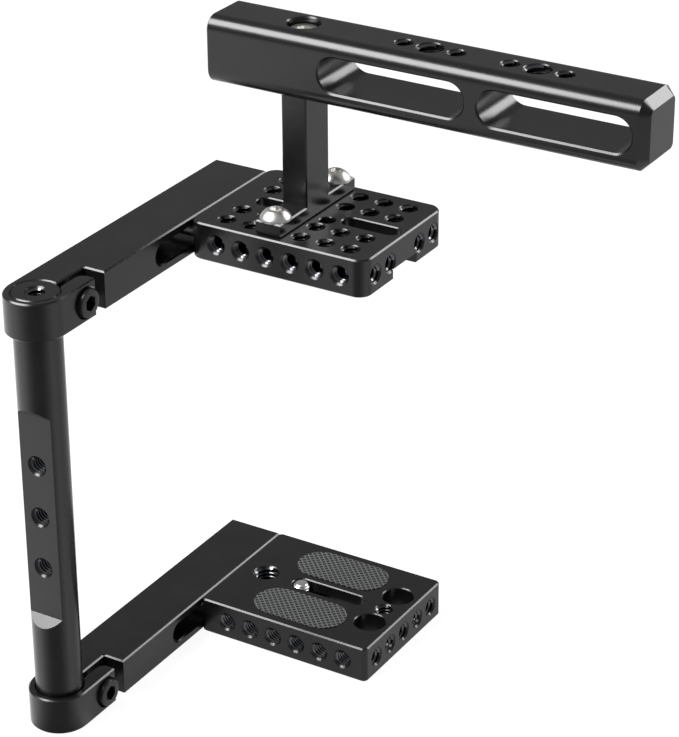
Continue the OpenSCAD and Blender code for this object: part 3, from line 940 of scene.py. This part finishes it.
@dataclass
class Screw:
    """A screw with a wound thread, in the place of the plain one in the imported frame.

    Attributes:
        node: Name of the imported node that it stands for.
        body: Name of the body that it rides on.
        face: Direction that its head looks in.
        thread: Its thread.
        head: Its head.
        slot: Material slot of the record that it takes its finish from.
        bare: Length under the head that has no thread.
        point: Size of the chamfer at its tip.
    """

    node: str
    body: str
    face: Face
    thread: ThreadForm
    head: Head
    slot: str = Slot.STAINLESS.value
    bare: float = 0.0
    point: float = 0.4 * MM

    def solid(self, length: float) -> bpy.types.Object:
        """Turn the shank and the head, and cut the tool's hollow in the head.

        Args:
            length: Length of the shank.

        Returns:
            The solid, seated at z = 0.
        """
        minor = self.thread.minor_radius()
        shank = [(minor - self.point, -length), (minor, self.point - length), (minor, SEAT_GAP)]
        solid = turned(f"{self.node}_solid", shank + self.head.rings())
        cutter = self.head.cutter()
        cut = solid.modifiers.new("tool", "BOOLEAN")
        cut.operation = "DIFFERENCE"
        cut.solver = "EXACT"
        cut.object = cutter
        make_active(solid)
        bpy.ops.object.modifier_apply(modifier=cut.name)
        bpy.data.objects.remove(cutter)
        bpy.ops.object.shade_smooth_by_angle(angle=SMOOTH_ANGLE)
        return solid

    def build(self, material: bpy.types.Material) -> bpy.types.Object:
        """Model the screw, stand it in its node's box and hide the node.

        Args:
            material: Finish of the screw.

        Returns:
            The finished screw.
        """
        low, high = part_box(self.node)
        out = self.face.out()
        reach = abs(out.dot(high - low))
        length = reach - self.head.height
        seat = (low + high) / 2 + out * (reach / 2 - self.head.height)
        solid = self.solid(length)
        ridge = self.thread.ridge(f"{self.node}_ridge", length - self.bare, inward=False)
        ridge.data.transform(Matrix.Translation((0.0, 0.0, -self.bare)))
        piece = joined([solid, ridge], f"{self.node}_threaded")
        piece.data.transform(stance(seat, out))
        cover(piece, material)
        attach(piece, self.body)
        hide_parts(self.node)
        log.info("%s: %d faces", piece.name, len(piece.data.polygons))
        return piece


@dataclass
class ScrewSet:
    """The ten screws of the cage, with the sizes of metric and inch socket screws.

    Attributes:
        metric: Thread of the clamp, camera and handle screws.
        small: Thread of the plate screws.
        inch: Thread of the foot screws.
        cap: Head of the clamp and handle screws.
        low: Head of the plate screws.
        button: Head of the foot screws.
        coin: Head of the camera screw.
        camera_bare: Length of the camera screw that its washer and the plate's slot leave bare.
    """

    metric: ThreadForm = ThreadForm(major_d=6 * MM, pitch=1 * MM, steps=24)
    small: ThreadForm = ThreadForm(major_d=5 * MM, pitch=0.8 * MM, steps=24)
    inch: ThreadForm = ThreadForm(major_d=6.25 * MM, pitch=1.27 * MM, steps=24)
    cap: Head = Head(HeadForm.CYLINDER, diameter=10 * MM, height=6 * MM, tool_width=5 * MM,
                     tool_depth=3 * MM)
    low: Head = Head(HeadForm.CYLINDER, diameter=10 * MM, height=4 * MM, tool_width=4 * MM,
                     tool_depth=2 * MM)
    button: Head = Head(HeadForm.BUTTON, diameter=11.2 * MM, height=3.6 * MM, tool_width=4 * MM,
                        tool_depth=2 * MM)
    coin: Head = Head(HeadForm.CYLINDER, diameter=14 * MM, height=3.5 * MM, tool_width=1.6 * MM,
                      tool_depth=1.75 * MM, tool=ToolForm.COIN_SLOT)
    camera_bare: float = 1.3 * MM

    def screws(self) -> list[Screw]:
        """List every screw of the cage.

        Returns:
            The clamps', the plates' and the foot's screws, the camera screw and the handle screw.
        """
        clamps = [Screw(f"{level}_clamp_screw", f"{level}_clamp_screw", Face.FRONT, self.metric, self.cap,
                        slot=Slot.BLACK_STEEL.value) for level in ("lower", "upper")]
        plates = [Screw(f"{plate}_{end}_screw", f"{plate}_{end}_screw", Face.REAR, self.small, self.low)
                  for plate in ("top_plate", "base_plate") for end in ("inner", "outer")]
        feet = [Screw(f"{side}_foot_screw", "top_plate", Face.UP, self.inch, self.button)
                for side in ("near", "far")]
        camera = Screw("camera_screw", "camera_screw", Face.DOWN, self.metric, self.coin,
                       bare=self.camera_bare)
        handle = Screw("handle_screw", "top_plate", Face.UP, self.metric, self.cap)
        return clamps + plates + feet + [camera, handle]


@dataclass
class Workshop:
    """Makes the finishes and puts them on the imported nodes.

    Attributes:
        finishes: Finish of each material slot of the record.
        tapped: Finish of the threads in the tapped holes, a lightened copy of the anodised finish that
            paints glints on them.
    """

    finishes: dict[Slot, Finish] = field(default_factory=lambda: {
        Slot.ANODISED: AnodisedAluminium(),
        Slot.BLACK_STEEL: TurnedSteel("steel_black_oxide", body="#161617", metallic=0.0, roughness=0.32),
        Slot.STAINLESS: TurnedSteel("steel_stainless_turned", body="#e2e1de", metallic=1.0, roughness=0.33),
        Slot.RUBBER: MouldedRubber(),
        Slot.NYLON: Nylon(),
    })
    # The threads get a lighter, metallic copy of the black anodised finish, which paints bright glints on
    # their ridges
    tapped: Finish = AnodisedAluminium("anodised_aluminium_glint_lightened", body="#55565a", worn="#77787c",
                                       metallic=1.0, roughness=0.18)

    def materials(self) -> dict[Slot, bpy.types.Material]:
        """Make the material of every slot."""
        return {slot: finish.build() for slot, finish in self.finishes.items()}

    def dress(self, materials: dict[Slot, bpy.types.Material]) -> None:
        """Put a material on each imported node, as its slot in the record says.

        Args:
            materials: Material of each slot.
        """
        slots = {entry["node"]: entry["material_slot"] for entry in frame["record"]["subparts"]}
        for name, node in frame["nodes"].items():
            material = materials[Slot(slots[name])]
            cover(node, material)
            log.info("%s: %s", name, material.name)


@dataclass(frozen=True)
class Lamp:
    """A soft box: the direction it stands in from the cage, its distance, size and radiance."""

    name: str
    direction: Point
    distance: float
    width: float
    height: float
    radiance: float


@dataclass(frozen=True)
class DimSide:
    """A side on which the floor's glow, as the cage reflects it, is painted dim, a painted shade.

    Attributes:
        direction: Where the side lies from the cage.
        start: Cosine of the angle to that direction at which the dimming starts.
        stop: Cosine of the angle at which it ends.
        full: The floor's level before it.
        least: The floor's level after it.
    """

    direction: Point
    start: float
    stop: float
    full: float
    least: float


@dataclass
class Studio:
    """White floor, soft boxes and a camera where the photograph was taken from.

    Attributes:
        target: Point of the cage that the soft boxes face.
        lamps: The soft boxes.
        room_level: Level of the room in the cage's reflections.
        floor_size: Side of the floor.
        floor_drop: Distance of the floor under the cage.
        floor_level: Level of the floor as the camera sees it.
        faint_paper: Colour of the seen floor's own shading, which keeps a faint shadow.
        paper: Colour of the floor as it lights the cage.
        dim_sides: Sides on which the reflected floor's glow is painted dim.
        camera_place: Place of the camera.
        azimuth: The camera's turn round the vertical.
        elevation: The camera's height over the horizon, as an angle.
        roll: The camera's turn round its own axis.
        focal_px: Focal length in pixels of the photograph.
        image_height_px: Height of the photograph in pixels.
        sensor_mm: Height of the camera's sensor.
        near_clip: Nearest distance that the camera sees.
        far_clip: Farthest distance that it sees.
    """

    target: Vector = field(default_factory=lambda: Vector((0.06, -0.06, 0.11)))
    lamps: tuple[Lamp, ...] = (
        Lamp("soft_box_left", (-0.45, 0.45, 0.77), distance=1.5, width=1.0, height=0.8, radiance=16.0),
        Lamp("soft_box_right", (0.77, -0.45, 0.45), distance=1.5, width=0.8, height=0.6, radiance=8.0),
    )
    room_level: float = 0.26
    floor_size: float = 8.0
    floor_drop: float = 0.05 * MM
    floor_level: float = 0.93
    faint_paper: Colour = (0.12, 0.12, 0.12, 1.0)
    paper: Colour = (0.8, 0.8, 0.8, 1.0)
    # The floor's glow in reflections is painted uneven, a painted shade: dim towards the camera, half on
    # the right and full elsewhere
    dim_sides: tuple[DimSide, DimSide] = (
        DimSide((-0.862, -0.507, 0.0), start=0.35, stop=0.95, full=1.12, least=0.06),
        DimSide((0.86, -0.50, 0.0), start=0.45, stop=0.9, full=1.0, least=0.46),
    )
    # Solved from the photograph, with the focal length
    camera_place: Point = (-0.64089, -0.50367, 0.54709)
    azimuth: float = math.radians(-58.88)
    elevation: float = math.radians(26.79)
    roll: float = math.radians(-0.35)
    focal_px: float = 2713.3
    image_height_px: float = 737.0
    sensor_mm: float = 36.0
    near_clip: float = 0.05
    far_clip: float = 50.0

    def add_lamps(self) -> None:
        """Add the soft boxes, each facing the cage."""
        for lamp in self.lamps:
            light = bpy.data.lights.new(lamp.name, "AREA")
            light.shape = "RECTANGLE"
            light.size = lamp.width
            light.size_y = lamp.height
            light.energy = lamp.radiance * math.pi * lamp.width * lamp.height
            holder = bpy.data.objects.new(lamp.name, light)
            out = Vector(lamp.direction).normalized()
            holder.matrix_world = (Matrix.Translation(self.target + out * lamp.distance)
                                   @ out.to_track_quat("Z", "Y").to_matrix().to_4x4())
            bpy.context.scene.collection.objects.link(holder)

    def add_world(self) -> None:
        """Add a white backdrop for the camera and a dim room for the cage's reflections."""
        world = bpy.data.worlds.new("studio")
        bpy.context.scene.world = world
        world.use_nodes = True
        tree = world.node_tree
        tree.nodes.clear()
        rays = add_node(tree, "ShaderNodeLightPath")
        white = add_node(tree, "ShaderNodeBackground", values={"Color": WHITE, "Strength": 1.0})
        room = add_node(tree, "ShaderNodeBackground", values={"Color": WHITE, "Strength": self.room_level})
        seen = add_node(tree, "ShaderNodeMath", settings={"operation": "MAXIMUM"},
                        links={0: rays.outputs["Is Camera Ray"], 1: rays.outputs["Is Transmission Ray"]})
        mixed = add_node(tree, "ShaderNodeMixShader",
                         links={0: seen.outputs["Value"], 1: room.outputs["Background"],
                                2: white.outputs["Background"]})
        output = add_node(tree, "ShaderNodeOutputWorld")
        tree.links.new(mixed.outputs["Shader"], output.inputs["Surface"])

    def paper_material(self) -> bpy.types.Material:
        """Make the floor's material, white to the eye, with a glow in reflections that is painted dimmer on
        two sides.

        Returns:
            The finished material.
        """
        material, tree, output = new_material("paper_white_floor")
        rays = add_node(tree, "ShaderNodeLightPath")
        seen = add_node(tree, "ShaderNodeMath", settings={"operation": "MAXIMUM"},
                        links={0: rays.outputs["Is Camera Ray"], 1: rays.outputs["Is Glossy Ray"]})
        seen = add_node(tree, "ShaderNodeMath", settings={"operation": "MAXIMUM"},
                        links={0: seen.outputs["Value"], 1: rays.outputs["Is Transmission Ray"]})
        place = add_node(tree, "ShaderNodeTexCoord").outputs["Object"]
        heading = add_node(tree, "ShaderNodeVectorMath", settings={"operation": "NORMALIZE"},
                           links={0: place})
        shares = []
        for side in self.dim_sides:
            turn = add_node(tree, "ShaderNodeVectorMath", settings={"operation": "DOT_PRODUCT"},
                            values={1: side.direction}, links={0: heading.outputs["Vector"]})
            shares.append(add_node(tree, "ShaderNodeMapRange", links={"Value": turn.outputs["Value"]},
                                   values={"From Min": side.start, "From Max": side.stop,
                                           "To Min": side.full, "To Max": side.least}))
        # Painted shade: the floor's glow in reflections, dimmed by its direction across the floor
        painted_reflection_glow = add_node(tree, "ShaderNodeMath", settings={"operation": "MULTIPLY"},
                       links={0: shares[0].outputs["Result"], 1: shares[1].outputs["Result"]})
        level = add_node(tree, "ShaderNodeMix", settings={"data_type": "FLOAT"},
                         values={"A": self.floor_level},
                         links={"Factor": rays.outputs["Is Glossy Ray"], "B": painted_reflection_glow.outputs["Value"]})
        glow = add_node(tree, "ShaderNodeEmission", values={"Color": WHITE},
                        links={"Strength": level.outputs["Result"]})
        faint = add_node(tree, "ShaderNodeBsdfDiffuse", values={"Color": self.faint_paper})
        paper = add_node(tree, "ShaderNodeBsdfDiffuse", values={"Color": self.paper})
        bright = add_node(tree, "ShaderNodeAddShader",
                          links={0: glow.outputs["Emission"], 1: faint.outputs["BSDF"]})
        mixed = add_node(tree, "ShaderNodeMixShader",
                         links={0: seen.outputs["Value"], 1: paper.outputs["BSDF"],
                                2: bright.outputs["Shader"]})
        tree.links.new(mixed.outputs["Shader"], output.inputs["Surface"])
        return material

    def add_floor(self) -> None:
        """Add the white floor under the cage."""
        deselect_all()
        bpy.ops.mesh.primitive_plane_add(size=self.floor_size, location=(0.0, 0.0, -self.floor_drop))
        floor = bpy.context.object
        floor.name = "floor"
        cover(floor, self.paper_material())

    def add_camera(self) -> None:
        """Add the camera at the photograph's viewing point."""
        data = bpy.data.cameras.new("camera")
        data.sensor_fit = "VERTICAL"
        data.sensor_height = self.sensor_mm
        data.lens = self.focal_px * self.sensor_mm / self.image_height_px
        data.clip_start = self.near_clip
        data.clip_end = self.far_clip
        right = Vector((math.cos(self.azimuth), math.sin(self.azimuth), 0.0))
        back = Vector((math.sin(self.azimuth) * math.cos(self.elevation),
                       -math.cos(self.azimuth) * math.cos(self.elevation), math.sin(self.elevation)))
        up = back.cross(right)
        rolled_right = right * math.cos(self.roll) + up * math.sin(self.roll)
        rolled_up = up * math.cos(self.roll) - right * math.sin(self.roll)
        turn = Matrix((rolled_right, rolled_up, back)).transposed().to_4x4()
        camera = bpy.data.objects.new("camera", data)
        camera.matrix_world = Matrix.Translation(Vector(self.camera_place)) @ turn
        bpy.context.scene.collection.objects.link(camera)
        bpy.context.scene.camera = camera

    def build(self) -> None:
        """Set up the whole studio."""
        self.add_camera()
        self.add_world()
        self.add_floor()
        self.add_lamps()
        bpy.context.scene.view_settings.view_transform = "Standard"


def main() -> None:
    """Dress the cage, wind its threads, replace its screws and set up the studio."""
    logging.basicConfig(level=logging.INFO, format="%(message)s")
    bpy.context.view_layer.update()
    workshop = Workshop()
    materials = workshop.materials()
    workshop.dress(materials)
    tapped = workshop.tapped.build()
    parts: list[TappedPart] = [TopPlate(), BasePlate(), SideRod(), HandleGrip()]
    for part in parts:
        part.build(tapped)
    for screw in ScrewSet().screws():
        screw.build(materials[Slot(screw.slot)])
    Studio().build()


if __name__ == "__main__":
    main()
